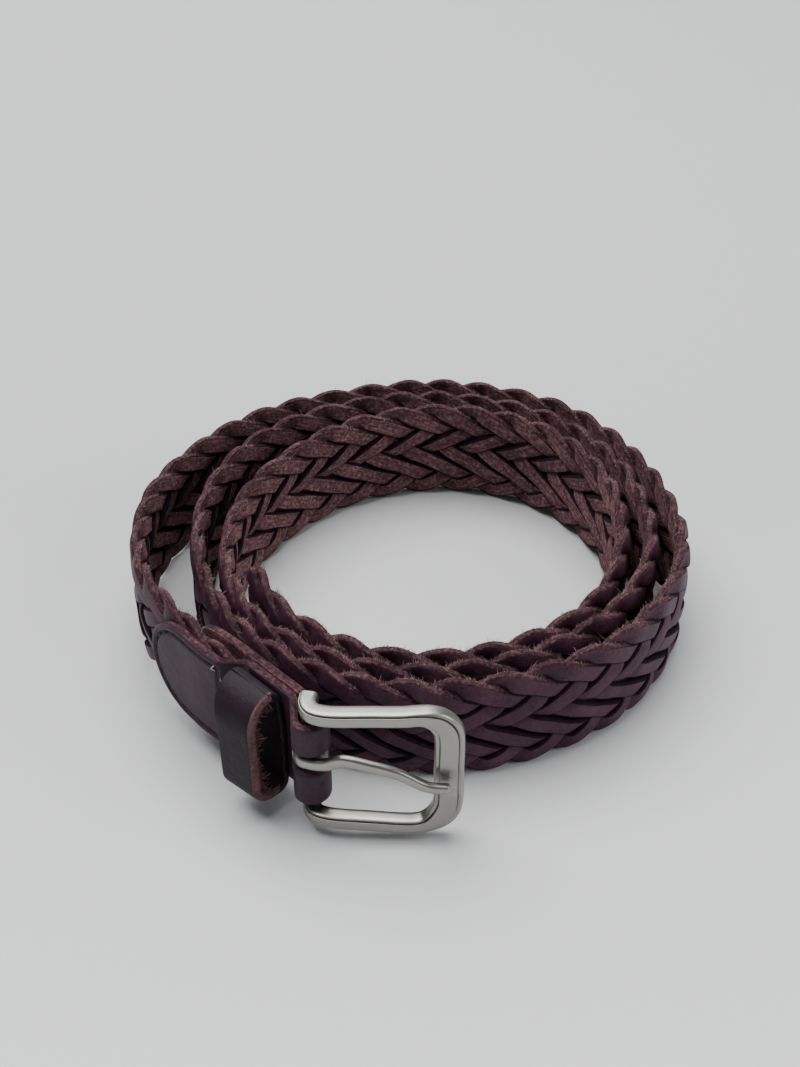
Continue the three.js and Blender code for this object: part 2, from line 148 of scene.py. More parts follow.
def neck_dip(setback):
    """How far the tab's outer layer has sunk behind the bar: it sinks and rises by smoothstep."""
    return NECK_DIP * smooth(0, NECK_NEAR, setback) * (1 - smooth(NECK_FAR, NECK_END, setback))


def on_route(along):
    """The place on the route and the outward direction there, which is the slope turned clockwise."""
    place = np.stack([np.interp(along, route_length, route[:, i]) for i in (0, 1)], -1)
    slope = unit_length(np.stack([np.interp(along, route_length, route_slope[:, i]) for i in (0, 1)], -1))
    return place, np.stack([slope[..., 1], -slope[..., 0]], -1)


def belt_place(along, height, out):
    """Place on the route plus out times the outward direction; the height is added to the lift."""
    place, outward = on_route(along)
    flat = place + outward * np.asarray(out)[..., None]
    return np.concatenate([flat, (height + lift(along))[..., None]], -1)


RIM_STATIONS = 4000
edge_low, edge_high = TIP_TRIM, LENGTH - BRAID_END_SETBACK
stations = np.linspace(edge_low, edge_high, RIM_STATIONS)
rim = np.vstack([belt_place(stations, 0 * stations, edge * BAND_THICKNESS / 2) for edge in (-1, 1)])
cad_low, cad_high = (np.array(corner) * 1000 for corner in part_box("braided_strap"))
SHIFT = np.append(((cad_low + cad_high) / 2 - (rim.min(0) + rim.max(0)) / 2)[:2], 0)
spare = (cad_high - cad_low)[:2] - (rim.max(0) - rim.min(0))[:2]
print("the route is moved by", SHIFT.round(3), "mm; the CAD box differs by", spare.round(2), "mm")

# %% [markdown]
# ## One way to make a mesh
#
# Every piece here is a grid: rows of points along a path, and columns round a section. The faces join each
# point to its neighbours, so their corner numbers are sums of array indices. Threads and fibres are many
# tubes in one mesh, made the same way.


# %% Grid meshes
def link(name, data):
    """An object that shows the data, linked to the scene."""
    piece = bpy.data.objects.new(name, data)
    bpy.context.scene.collection.objects.link(piece)
    return piece


def add_tubes(name, points, material):
    """Many tubes in one mesh, from points of shape (tubes, rows, sides, 3), and the corners of their faces.
    A corner's number is its tube times rows and sides, plus its row times sides, plus its side."""
    count, rows, sides = points.shape[:3]
    base = np.arange(count)[:, None, None] * rows * sides
    r, c = np.arange(rows - 1)[None, :, None] * sides, np.arange(sides)[None, None]
    after = (c + 1) % sides
    quads = np.stack([base + r + c, base + r + after, base + r + sides + after, base + r + sides + c], -1)
    mesh = bpy.data.meshes.new(name)
    mesh.from_pydata((points.reshape(-1, 3) / 1000).tolist(), [], quads.reshape(-1, 4).tolist())
    mesh.uv_layers.new(name="UVMap")
    mesh.materials.append(material)
    return link(name, mesh), quads


def add_mesh(name, grid, materials, round_rows=False, round_columns=True, strips=None):
    """A mesh from a grid of points, rows by columns. Face corners are (r, c), (r, c+1), (r+1, c+1) and
    (r+1, c), and an index wraps where the grid closes. UV is the length along and round, in millimetres."""
    rows, columns = grid.shape[:2]
    r = np.arange(rows if round_rows else rows - 1)
    c = np.arange(columns if round_columns else columns - 1)
    r, c = (m.ravel() for m in np.meshgrid(r, c, indexing="ij"))
    corner_r = np.stack([r, r, r + 1, r + 1], 1)
    corner_c = np.stack([c, c + 1, c + 1, c], 1)
    quads = (corner_r % rows) * columns + corner_c % columns
    caps = []
    if round_columns and not round_rows:
        caps = [list(range(columns))[::-1], list(range((rows - 1) * columns, rows * columns))]
    mesh = bpy.data.meshes.new(name)
    mesh.from_pydata((grid.reshape(-1, 3) / 1000).tolist(), [], quads.tolist() + caps)
    u = length_along(np.concatenate([grid, grid[:1]], 0)[:, columns // 2])
    v = length_along(np.concatenate([grid, grid[:, :1]], 1)[rows // 2])
    uv = np.stack([u[corner_r], v[corner_c]], -1).reshape(-1, 2)
    uv = np.vstack([uv, np.zeros((sum(len(cap) for cap in caps), 2))])
    mesh.uv_layers.new(name="UVMap").data.foreach_set("uv", uv.ravel())
    kinds = np.zeros(len(c), int) if strips is None else np.asarray(strips)[c]
    cap_kind = 0 if strips is None else int(max(strips))
    mesh.polygons.foreach_set("material_index", np.append(kinds, [cap_kind] * len(caps)).astype(np.int32))
    mesh.polygons.foreach_set("use_smooth", np.append(np.ones(len(c)), np.zeros(len(caps))).astype(bool))
    for material in materials:
        mesh.materials.append(material)
    mesh.validate()
    return link(name, mesh)


def rounded_section(width, thickness, corner, across=7, corner_points=4):
    """A rounded rectangle as points (across, up), anticlockwise from the lower left: four straight sides
    joined by quarter circles."""
    half = np.array([width, thickness]) / 2 - corner
    turn = np.linspace(0, np.pi / 2, corner_points)
    arc = corner * np.stack([np.sin(turn), 1 - np.cos(turn)], 1)
    lower = np.stack([np.linspace(-half[0], half[0], across), np.full(across, -thickness / 2)], 1)
    right = np.stack([half[0] + arc[1:, 0], -thickness / 2 + arc[1:, 1]], 1)
    upper_right = np.stack([half[0] + arc[::-1, 0], thickness / 2 - arc[::-1, 1]], 1)[:-1]
    half_ring = np.vstack([lower, right, upper_right])
    return np.vstack([half_ring, -half_ring])


print("a rounded section has", len(rounded_section(2, 1, 0.2)), "points")

# %% [markdown]
# ## Materials
#
# Colours are written as sRGB hex, as a colour picker shows them, and Blender wants linear light. One small
# helper adds any node and wires it up, so each material reads as a list of layers.


# %% Material helpers
def linear(hex_color):
    """sRGB hex to linear RGBA: each channel over 255, then the power 2.4 curve with its straight foot."""
    channel = np.array([int(hex_color[i : i + 2], 16) for i in (1, 3, 5)]) / 255
    curved = np.where(channel <= 0.04045, channel / 12.92, ((channel + 0.055) / 1.055) ** 2.4)
    return (*curved.tolist(), 1.0)


def add(tree, kind, inputs=None, stops=None, **settings):
    """Adds a node of that kind. An input's value is a number, a colour or another node's output socket. The
    stops of a colour ramp are its positions with their hex colours."""
    node = tree.nodes.new(kind)
    for name, value in settings.items():
        setattr(node, name, value)
    for key, value in (inputs or {}).items():
        if isinstance(value, bpy.types.NodeSocket):
            tree.links.new(value, node.inputs[key])
        else:
            node.inputs[key].default_value = value
    for _ in (stops or [])[2:]:
        node.color_ramp.elements.new(0.5)
    for i, (position, color) in enumerate(stops or []):
        element = node.color_ramp.elements[i]
        element.position, element.color = position, linear(color)
    return node


def new_material(name):
    """An empty node material, its tree, its output node and object coordinates."""
    material = bpy.data.materials.new(name)
    material.use_nodes = True
    tree = material.node_tree
    tree.nodes.clear()
    return material, tree, add(tree, "ShaderNodeOutputMaterial"), add(tree, "ShaderNodeTexCoord")


print("mid grey in linear light:", round(linear("#808080")[0], 3))


# %% [markdown]
# Leather has two faces. The grain side is smooth with fine creases and pores. The flesh side and the cut
# edges are matt and fibrous. They share a recipe, so one function makes all from a short table of looks.

# %% Leather
# Heights in metres over which the painted shade on the lower cut edges fades into their own colour above.
PAINTED_SHADE_HEIGHTS = (0.020, 0.026)
SMOOTH_SPECULAR, ROUGH_SPECULAR = 0.16, 0.08
MIX_COLOR_A, MIX_COLOR_B, MIX_COLOR_RESULT = 6, 7, 2


def leather(name, colors, roughness, creases, fibres, contrast=0.45, painted_shade_colors=None):
    """Dyed leather: mottled colour, pores from a cell pattern, creases and fibres from stretched noise. All
    sizes are real: coordinates are metres, so a scale of 1000 / d makes features of about d millimetres.
    Where painted shade colours are given, they take over below the strap's upper edge, by the object's own
    height: painted shade on the lower parts, darker where laces and turns shade each other."""
    material, tree, output, coordinates = new_material(name)
    place, along = coordinates.outputs["Object"], coordinates.outputs["UV"]
    mottle = add(tree, "ShaderNodeTexNoise", {
        "Vector": place, "Scale": 1000 / 9, "Detail": 5.0, "Roughness": 0.6})
    grain = add(tree, "ShaderNodeTexNoise", {"Vector": place, "Scale": 1000 / 0.8, "Detail": 4.0})
    stretched = add(tree, "ShaderNodeMapping", {"Vector": along, "Scale": (0.22, 1.7, 1.0)})
    strands = add(tree, "ShaderNodeTexNoise", {
        "Vector": stretched.outputs["Vector"], "Scale": 1.2, "Detail": 7.0, "Roughness": 0.65})
    speckled = add(tree, "ShaderNodeMix", {
        "Factor": 0.5 * fibres, "A": grain.outputs["Fac"], "B": strands.outputs["Fac"]})
    mixed = add(tree, "ShaderNodeMix", {
        "Factor": contrast, "A": mottle.outputs["Fac"], "B": speckled.outputs["Result"]})
    color = add(tree, "ShaderNodeValToRGB", {"Fac": mixed.outputs["Result"]}, colors).outputs["Color"]
    if painted_shade_colors:
        height = add(tree, "ShaderNodeSeparateXYZ", {"Vector": place})
        upper = add(tree, "ShaderNodeMapRange", {
            "Value": height.outputs["Z"], "From Min": PAINTED_SHADE_HEIGHTS[0], "From Max": PAINTED_SHADE_HEIGHTS[1]})
        low = add(tree, "ShaderNodeValToRGB", {"Fac": mixed.outputs["Result"]}, painted_shade_colors)
        both = add(tree, "ShaderNodeMix", {
            "Factor": upper.outputs["Result"], MIX_COLOR_A: low.outputs["Color"], MIX_COLOR_B: color},
            data_type="RGBA")
        color = both.outputs[MIX_COLOR_RESULT]
    cells = add(tree, "ShaderNodeTexVoronoi", {"Vector": place, "Scale": 1000 / 0.5}, feature="SMOOTH_F1")
    pores = add(tree, "ShaderNodeBump", {
        "Strength": creases, "Distance": 0.00012, "Height": cells.outputs["Distance"]})
    ridges = add(tree, "ShaderNodeBump", {
        "Strength": fibres, "Distance": 0.0006, "Height": strands.outputs["Fac"],
        "Normal": pores.outputs["Normal"]})
    waves = add(tree, "ShaderNodeBump", {
        "Strength": 0.5, "Distance": 0.0008, "Height": mottle.outputs["Fac"],
        "Normal": ridges.outputs["Normal"]})
    shine = add(tree, "ShaderNodeMapRange", {
        "Value": grain.outputs["Fac"], "To Min": roughness - 0.09, "To Max": roughness + 0.09})
    shader = add(tree, "ShaderNodeBsdfPrincipled", {
        "Base Color": color, "Roughness": shine.outputs["Result"], "Normal": waves.outputs["Normal"],
        "Specular IOR Level": SMOOTH_SPECULAR if roughness < 0.7 else ROUGH_SPECULAR})
    tree.links.new(shader.outputs["BSDF"], output.inputs["Surface"])
    return material


lace_grain = leather("lace_grain_leather", [(0.35, "#2e1824"), (0.65, "#4f3141")], 0.5, 0.4, 0.25)
lace_flesh = leather(
    "lace_flesh_leather", [(0.36, "#3a272d"), (0.5, "#624549"), (0.66, "#9a7674")], 0.95, 0.6, 1.0, 0.85)
# The cut edge's low colours are painted shade: below the strap's upper edge its cut sides are painted near
# black.
cut_edge = leather(
    "cut_leather_edge", [(0.38, "#26171e"), (0.5, "#422c33"), (0.66, "#735453")], 0.9, 0.5, 1.0, 0.8,
    painted_shade_colors=[(0.4, "#1b0e15"), (0.65, "#2e1c26")])
tab_leather = leather("smooth_tab_leather", [(0.35, "#2b1b25"), (0.65, "#3d2a36")], 0.52, 0.35, 0.06)
keeper_leather = leather("smooth_keeper_leather", [(0.35, "#150c13"), (0.65, "#21151d")], 0.56, 0.35, 0.06)
# The keeper's inner flesh face is painted almost black: painted shade inside the loop, darker than the
# flesh's own colour.
keeper_inside_painted_shade = leather("keeper_flesh_painted_shade", [(0.35, "#120c10"), (0.65, "#241a1f")], 0.95, 0.6, 1.0)
rough_rim = leather("rough_keeper_rim", [(0.35, "#412b31"), (0.65, "#785a5d")], 0.95, 0.6, 1.0, 0.7)
fibre = leather("loose_leather_fibre", [(0.35, "#5f4a4b"), (0.65, "#9c8583")], 0.95, 0.0, 0.0)
leathers = [lace_grain, lace_flesh, cut_edge, tab_leather, keeper_leather, keeper_inside_painted_shade, rough_rim, fibre]
print("leathers:", [material.name for material in leathers])

# %% [markdown]
# The buckle is cast metal with a satin finish: nearly smooth, with a fine grain in its gloss and slight
# ripples.
# The thread is matt.


# %% Satin metal and thread
def satin_metal(name, color):
    """Metal with a soft sheen: fine noise changes the roughness, and very low ripples change the normal."""
    material, tree, output, coordinates = new_material(name)
    place = coordinates.outputs["Object"]
    fine = add(tree, "ShaderNodeTexNoise", {"Vector": place, "Scale": 1000 / 0.25, "Detail": 3.0})
    broad = add(tree, "ShaderNodeTexNoise", {"Vector": place, "Scale": 1000 / 4, "Detail": 2.0})
    gloss = add(tree, "ShaderNodeMapRange", {"Value": fine.outputs["Fac"], "To Min": 0.31, "To Max": 0.41})
    bump = add(tree, "ShaderNodeBump", {
        "Strength": 0.25, "Distance": 0.0002, "Height": broad.outputs["Fac"]})
    shader = add(tree, "ShaderNodeBsdfPrincipled", {
        "Base Color": linear(color), "Metallic": 1.0, "Roughness": gloss.outputs["Result"],
        "Normal": bump.outputs["Normal"]})
    tree.links.new(shader.outputs["BSDF"], output.inputs["Surface"])
    return material


def twisted_thread(name, color):
    """Sewing thread: matt, with the slanting bands of its twist from a wave pattern along its own UV."""
    material, tree, output, coordinates = new_material(name)
    twist = add(tree, "ShaderNodeTexWave", {"Vector": coordinates.outputs["UV"], "Scale": 1.2},
                bands_direction="DIAGONAL")
    bump = add(tree, "ShaderNodeBump", {
        "Strength": 0.6, "Distance": 0.0001, "Height": twist.outputs["Fac"]})
    shader = add(tree, "ShaderNodeBsdfPrincipled", {
        "Base Color": linear(color), "Roughness": 0.8, "Normal": bump.outputs["Normal"]})
    tree.links.new(shader.outputs["BSDF"], output.inputs["Surface"])
    return material


nickel = satin_metal("satin_nickel_plating", "#8f8d89")
dark_thread = twisted_thread("dark_waxed_thread", "#2b2126")
pale_thread = twisted_thread("pale_thread_end", "#c9b9ba")
print("metal and threads:", [m.name for m in (nickel, dark_thread, pale_thread)])

# %% [markdown]
# ## The braid
#
# Every lace follows the same zigzag, and each starts one pitch after the one before. A zigzag takes nine
# pitches, so a lace crosses each of the other eight on the way down and again on the way up. Its phase
# counts half pitches: from 0 at the top edge to 9 at the bottom edge, and on to 18 at the top again.
#
# At each whole phase the lace crosses another, over it or under it. The table lists the phases at which it
# changes sides. It makes four rows on either face, over two, two, three and one crossing.

# %% Sizes of the braid
PITCH = 10.1
LACES = 9
LACE_WIDTH, LACE_THICKNESS, LACE_CORNER = 4.35, 1.6, 0.52
TURN_HEIGHT = 12.6
TURN_SOFTNESS = 0.989
LACE_DOME, LACE_WAVER = 0.14, 0.05
TILT, UNEVEN = 0.3, 0.1
LAYER_OFFSET = 0.88
SIDE_CHANGES = [0, 2.5, 4.5, 7.5, 9, 10.5, 13.5, 15.5]
CHANGE_LENGTH = 0.36
FIRST_LACE = 2.0
STATION_LENGTH = 0.9
TILT_PHASES = [0, 1, 2.3, 2.8, 4.3, 4.8, 7.3, 7.8, 9, 10, 10.8, 13.2, 13.8, 15.3, 15.8, 17, 18]
TILT_SHARES = [-1, -1, -1, -1, -1, 1, 1, 1, 0, 1, 1, 1, -1, -1, 1, 1, -1]
slope = TURN_HEIGHT / (LACES * PITCH / 4)
slope_angle = np.arctan(slope)
print(f"laces slope at {np.degrees(slope_angle):.1f} degrees, {PITCH * np.sin(slope_angle):.2f} mm apart")


# %% [markdown]
# The zigzag is an arcsine of a cosine. With a factor a little under one inside, its corners are round.
#
# Which side the lace is on comes from a sum of smooth steps, one at each change, that go up and down in
# turn. The step is taken at the crossing lace's slanting edge, so a point off the middle line takes it
# sooner or later: its phase is shifted by its distance across the lace. A lace also tilts a little where it
# dives under its neighbour, as a table of tilts by phase says.

# %% The functions that weave
def zigzag(phase):
    """Height of a lace's middle: an arcsine of a softened cosine, scaled to the slope of the lattice."""
    wave = np.arcsin(TURN_SOFTNESS * np.cos(np.pi * phase / LACES)) * 2 / np.pi
    return STRAP_WIDTH / 2 + TURN_HEIGHT * wave


def side(phase):
    """Plus one on the outside, minus one on the inside: the sum over all changes of a rising or falling
    S-curve centred on that change."""
    phase = np.mod(phase - 0.9, 2 * LACES) + 0.9
    total = np.ones_like(phase)
    for i, change in enumerate(SIDE_CHANGES[1:] + [2 * LACES]):
        total += (-1 if i % 2 == 0 else 1) * (1 + np.tanh((phase - change) / CHANGE_LENGTH))
    return total


def lace(number, along, across, up):
    """Places on a lace, for arrays that broadcast: the length along the belt, the distance across the lace
    and the height above its middle. The distance across follows the normal of the zigzag."""
    phase = 2 * (along / PITCH - FIRST_LACE - number)
    rise = (zigzag(phase + 0.02) - zigzag(phase - 0.02)) / (0.04 * PITCH / 2)
    length = np.hypot(1, rise)
    shear = np.cos(2 * slope_angle) / np.sin(slope_angle) * across / PITCH
    local = phase - np.clip(-rise / slope, -1, 1) * shear
    tilt = TILT * np.interp(np.mod(local, 2 * LACES), TILT_PHASES, TILT_SHARES)
    uneven = UNEVEN * (np.sin(0.83 * along + 2.1 * number) + np.sin(0.37 * along - 3.3 * number)) / 2
    out = LAYER_OFFSET * side(local) + up + tilt * across / (LACE_WIDTH / 2) + uneven
    s = along - across * rise / length
    z = zigzag(phase) + across / length
    setback = LENGTH - s
    squeeze = 1 - BRAID_DRAWN_IN * (1 - smooth(DRAWN_IN_FROM, DRAWN_IN_TO, setback))
    z = STRAP_WIDTH / 2 + (z - STRAP_WIDTH / 2) * squeeze
    thinned = 1 - neck_dip(setback) / BAND_THICKNESS
    half = BAND_THICKNESS / 2
    return belt_place(s, z, (out + half) * thinned - half) + SHIFT


section = rounded_section(LACE_WIDTH, LACE_THICKNESS, LACE_CORNER)
dome = LACE_DOME * (1 - (2 * section[:, 0] / LACE_WIDTH) ** 2)
section[:, 1] += np.where(section[:, 1] > 0, dome, 0)
strip_middle = (section + np.roll(section, -1, 0)) / 2
flat_part = np.abs(strip_middle[:, 0]) < LACE_WIDTH / 2 - LACE_CORNER * 0.8
lace_strips = np.where(flat_part, np.where(strip_middle[:, 1] > 0, 0, 1), 2)
lengths = np.arange(edge_low, edge_high, STATION_LENGTH)
laces = []
for number in range(LACES):
    wide = 1 + LACE_WAVER * np.sin(0.61 * lengths + 1.7 * number)
    grid = lace(number, lengths[:, None], wide[:, None] * section[:, 0], section[:, 1])
    piece = add_mesh(f"lace_{number + 1}", grid, [lace_grain, lace_flesh, cut_edge], strips=lace_strips)
    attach(piece, "belt")
    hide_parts("braided_strap")
    laces.append(piece)
print("each lace has", len(laces[0].data.polygons), "faces")

# %% [markdown]
# ## The tab
#
# The tab is one strip of leather that runs from its round end along the outside, round the bar and back
# along the inside. Its path is a list of places with outward directions, and its section is a thin
# rectangle whose height follows the round end.

# %% Sizes of the tab
TAB_HEIGHT, FOLD_HEIGHT, FOLD_BLEND = 24.6, 21.4, 7.0
TAB_THICKNESS, TAB_LENGTH, TAB_BACK_LENGTH, TAB_END_ROUND = 2.0, 49.0, 42.0, 13.0
TAB_IN = BAND_THICKNESS / 2 + 0.3
GROOVE_INSET, GROOVE_WIDTH, GROOVE_DEPTH = 1.9, 0.4, 0.55
CROSS_SEAM_SETBACK = 24.3
SLOT_HEIGHT, SLOT_REACH, SLOT_SOFTNESS, SLOT_SHARE = 5.0, 5.0, 0.5, 0.9
PRONG_START = 0.6
RIM_SWELL, RIM_SWELL_WIDTH = 0.16, 0.6
EDGE_ROUNDING, EDGE_ROUNDING_WIDTH = 0.35, 0.28
TAB_COLUMNS, COLUMN_CROWDING = 72, 0.35
print("the tab's leather is", TAB_THICKNESS, "mm thick")


# %% [markdown]
# The first function lays out the rows of the strip, closer together at both ends. The other two give the
# outline's half height and the distance from it, which the groove and the rounded edges need.

# %% The tab's path and outline
def tab_path(total_rows=360):
    """Position along the strip, setback from the bar, fold angle and distance from the nearer end for each
    row.
    """
    fold = np.pi * (TAB_IN + TAB_THICKNESS / 2)
    position = np.linspace(0.02, TAB_LENGTH + fold + TAB_BACK_LENGTH - 0.02, total_rows)
    end = smooth(0, 1, np.linspace(0, 1, 40)) * 3
    position = np.sort(np.concatenate([position, end[1:], position[-1] - end[1:]]))
    turn = np.clip((position - TAB_LENGTH) / fold, 0, 1) * np.pi
    setback = np.where(turn <= 0, TAB_LENGTH - position, position - TAB_LENGTH - fold)
    setback = setback * ((turn <= 0) | (turn >= np.pi))
    from_end = np.minimum(position, position[-1] + 0.02 - position)
    return position, setback, turn, from_end


def half_height(setback, from_end):
    """Half the strip's height: an ellipse at the round end, and a waist towards the fold."""
    share = np.clip(from_end / TAB_END_ROUND, 0, 1)
    waist = FOLD_HEIGHT + (TAB_HEIGHT - FOLD_HEIGHT) * smooth(0, FOLD_BLEND, setback)
    return np.minimum(TAB_HEIGHT / 2 * np.sqrt(1 - (1 - share) ** 2), waist / 2)


def edge_distance(height, from_end, half):
    """Distance from the outline. In the round end it is (1 - e) over the size of e's gradient, where e is
    the ellipse's own radius; elsewhere it is the rest of the half height."""
    x = np.clip(TAB_END_ROUND - from_end, 0, None) / TAB_END_ROUND
    y = height / (TAB_HEIGHT / 2)
    e = np.hypot(x, y)
    gradient = np.hypot(x / TAB_END_ROUND, y / (TAB_HEIGHT / 2)) / np.maximum(e, 1e-6)
    return np.where(from_end < TAB_END_ROUND, (1 - e) / np.maximum(gradient, 1e-6), half - np.abs(height))


position, setback, turn, from_end = tab_path()
place, outward = on_route(LENGTH - setback)
facing = np.where((turn > 0)[:, None], unit(RUN_AZIMUTH - 90 + np.degrees(turn)), outward)
facing = np.where((turn >= np.pi)[:, None], -outward, facing)
half = half_height(setback, from_end)
print("the strip is", round(float(position[-1]), 1), "mm long, with", len(position), "rows")

# %% [markdown]
# The outer face carries the stitch groove. Its depth is a bell curve of the distance from the outline. The
# same distance rounds the cut edges. The slot for the prong is a deep dent across the fold.

# %% The tab's surface
even = np.linspace(-1, 1, TAB_COLUMNS)
shares = np.sin(np.pi / 2 * even) * COLUMN_CROWDING + even * (1 - COLUMN_CROWDING)
heights = half[:, None] * shares[None, :]
distance = edge_distance(heights, from_end[:, None], half[:, None])
outer_side = (turn <= 0)[:, None]
beyond_seam = (setback > CROSS_SEAM_SETBACK)[:, None]
groove = np.exp(-(((distance - GROOVE_INSET) / GROOVE_WIDTH) ** 2)) * beyond_seam
from_seam = setback[:, None] - CROSS_SEAM_SETBACK
cross = np.exp(-((from_seam / GROOVE_WIDTH) ** 2)) * (distance > GROOVE_INSET)
swell = np.exp(-(((distance - GROOVE_INSET * 0.45) / RIM_SWELL_WIDTH) ** 2)) * beyond_seam
rounding = EDGE_ROUNDING * np.exp(-np.clip(distance, 0, None) / EDGE_ROUNDING_WIDTH)
near_bar = np.abs(position - TAB_LENGTH - np.pi * (TAB_IN + TAB_THICKNESS / 2) / 2)[:, None]
slot_length = SLOT_REACH + np.pi * (TAB_IN + TAB_THICKNESS / 2) / 2
in_slot = (1 - smooth(slot_length - SLOT_SOFTNESS, slot_length + SLOT_SOFTNESS, near_bar)) * (
    1 - smooth(SLOT_HEIGHT / 2 - 0.35, SLOT_HEIGHT / 2 + 0.35, np.abs(heights - PRONG_START)))
relief = RIM_SWELL * swell - GROOVE_DEPTH * np.maximum(groove, cross)
outer_face = TAB_IN + TAB_THICKNESS - rounding + relief * outer_side
outer_face = outer_face - in_slot * TAB_THICKNESS * SLOT_SHARE
inner_face = TAB_IN + 0.2 * np.exp(-np.clip(distance, 0, None) / 0.2) + 0 * heights
base = np.where(turn[:, None] > 0, BUCKLE_MIDDLE, STRAP_WIDTH / 2 + lift(LENGTH - setback)[:, None])


def strip_points(offset, z):
    """Places on the strip: the route's place plus the offset along the facing direction, at a height."""
    sunk = (neck_dip(setback) * (turn <= 0))[:, None]
    flat = place[:, None, :] + facing[:, None, :] * (offset - sunk)[..., None]
    return np.concatenate([flat, (z + base)[..., None]], -1) + SHIFT


outer_grid = strip_points(outer_face, heights)
inner_grid = strip_points(inner_face, heights)[:, ::-1]
tab_grid = np.concatenate([outer_grid, inner_grid], 1)
tab_strips = np.array([0] * (TAB_COLUMNS - 1) + [2] + [1] * (TAB_COLUMNS - 1) + [2])
tab = add_mesh("tab_strip", tab_grid, [tab_leather, lace_flesh, cut_edge], strips=tab_strips)
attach(tab, "belt")
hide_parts("buckle_tab")
print("the tab has", len(tab.data.polygons), "faces")

# %% [markdown]
# ## Stitches
#
# The thread lies in the groove. One line of points follows the groove down one side, round the end and
# back, and a stitch is a short piece of that line with a round section, which dips at both ends. Three
# loose ends of thread lie by the cross seam, on curves drawn one by one.


# %% Stitches and thread ends
def on_tab(setback, height, proud):
    """Places on the tab's outer face, raised by proud."""
    place, outward = on_route(LENGTH - setback)
    face = TAB_IN + TAB_THICKNESS - neck_dip(setback) + proud
    level = height + STRAP_WIDTH / 2 + lift(LENGTH - setback)
    return np.concatenate([place + outward * face[..., None], level[..., None]], -1) + SHIFT


def threads(name, centre, radius, material, sides=8):
    """Tubes in one mesh from centre lines of shape (threads, points, 3): the section's two directions are
    square to the line, and its radius shrinks at the ends."""
    slope = unit_length(np.gradient(centre, axis=1))
    first = unit_length(np.cross(slope, [0.31, 0.52, 0.8]))
    second = np.cross(slope, first)
    turn = np.linspace(0, 2 * np.pi, sides, endpoint=False)
    share = np.linspace(-1, 1, centre.shape[1])
    thick = radius * np.sqrt(1 - 0.96 * share**4)[None, :, None, None]
    ring = first[:, :, None] * np.cos(turn)[:, None] + second[:, :, None] * np.sin(turn)[:, None]
    points = centre[:, :, None] + ring * thick
    piece, quads = add_tubes(name, points, material)
    rows = centre.shape[1]
    uv = np.stack([(quads // sides) % rows / rows * 3, quads % sides / sides], -1)
    piece.data.uv_layers["UVMap"].data.foreach_set("uv", uv.ravel())
    piece.data.shade_smooth()
    return piece


GROOVE_HALF = TAB_HEIGHT / 2 - GROOVE_INSET
STITCH, STITCH_GAP, STITCH_POINTS, THREAD_RADIUS, THREAD_END_RADIUS = 2.5, 0.8, 9, 0.27, 0.13
straight = np.linspace(CROSS_SEAM_SETBACK + 0.6, TAB_LENGTH - TAB_END_ROUND, 60)
bow = np.linspace(-np.pi / 2, np.pi / 2, 120)[1:-1]
bow_setback = TAB_LENGTH - TAB_END_ROUND + (TAB_END_ROUND - GROOVE_INSET) * np.cos(bow)
level = np.full(len(straight), GROOVE_HALF)
seam_setback = np.concatenate([straight, bow_setback, straight[::-1]])
seam_height = np.concatenate([-level, GROOVE_HALF * np.sin(bow), level])
seam = np.stack([seam_setback, seam_height], 1)
seam_length = length_along(seam)
count = int(seam_length[-1] // (STITCH + STITCH_GAP))
where = np.arange(count)[:, None] * (STITCH + STITCH_GAP) + STITCH * np.linspace(0, 1, STITCH_POINTS)
stitch_setback, stitch_height = (np.interp(where, seam_length, seam[:, i]) for i in (0, 1))
sag = -0.30 - 0.22 * np.linspace(-1, 1, STITCH_POINTS) ** 4 + 0 * stitch_setback
stitches = threads("tab_stitches", on_tab(stitch_setback, stitch_height, sag), THREAD_RADIUS, dark_thread)
share = np.linspace(0, 1, 24)
end_setback = np.stack([23.4 + 2.2 * share**2, 24.6 + 0.5 * np.sin(3 * share), 25.4 - 1.2 * share])
end_height = np.stack([8.5 - 14 * share, 9.6 + 1.6 * share, -4.6 - 2.6 * share])
end_proud = 0.12 + 0.5 * np.sin(np.pi * share) ** 2 * np.array([[0.3], [1], [1]])
loose = on_tab(end_setback, end_height, end_proud)
thread_ends = threads("tab_thread_ends", loose, THREAD_END_RADIUS, pale_thread)
for piece in (stitches, thread_ends):
    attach(piece, "belt")
    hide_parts("buckle_tab")
print(count, "stitches and", len(loose), "thread ends")

# %% [markdown]
# ## The keeper
#
# The keeper is a closed band. Its thin back lies on the tab and its front stands off it. Its outline is
# four quarter circles joined by straight lines, once for the inside and once for the outside, with equal
# counts of points. So a point within the leather is a blend of the two.

# %% Sizes of the keeper
KEEPER_WIDTH, KEEPER_THICKNESS, KEEPER_BACK_THICKNESS, KEEPER_SETBACK = 9.4, 2.2, 1.2, 6.8
KEEPER_ROOM, KEEPER_FLARE, KEEPER_NEAR_LEAN, KEEPER_FAR_LEAN = 5.95, 0.9, 1.2, 2.6
KEEPER_RADII = np.array([5.2, 0.8, 0.8, 2.8])
KEEPER_HEIGHT_SHARE, KEEPER_DROP = 1.122, 0.6
KEEPER_BULGE, KEEPER_CORNER, KEEPER_ROUGHNESS = 0.3, 0.4, 0.16
ARC_POINTS, LINE_POINTS = 14, 16
QUARTER = ARC_POINTS + LINE_POINTS
seat = TAB_IN + TAB_THICKNESS - NECK_DIP + 0.3
keeper_half = KEEPER_HEIGHT_SHARE * TAB_HEIGHT / 2 - KEEPER_THICKNESS
run, run_out = unit(RUN_AZIMUTH), unit(RUN_AZIMUTH - 90)
print(f"the keeper is {2 * (keeper_half + KEEPER_THICKNESS):.1f} mm high")


# %% [markdown]
# The band's shape needs two functions. One draws the outline as seen along the strap. The other places any
# point of the leather, by its row in the outline and by two shares.

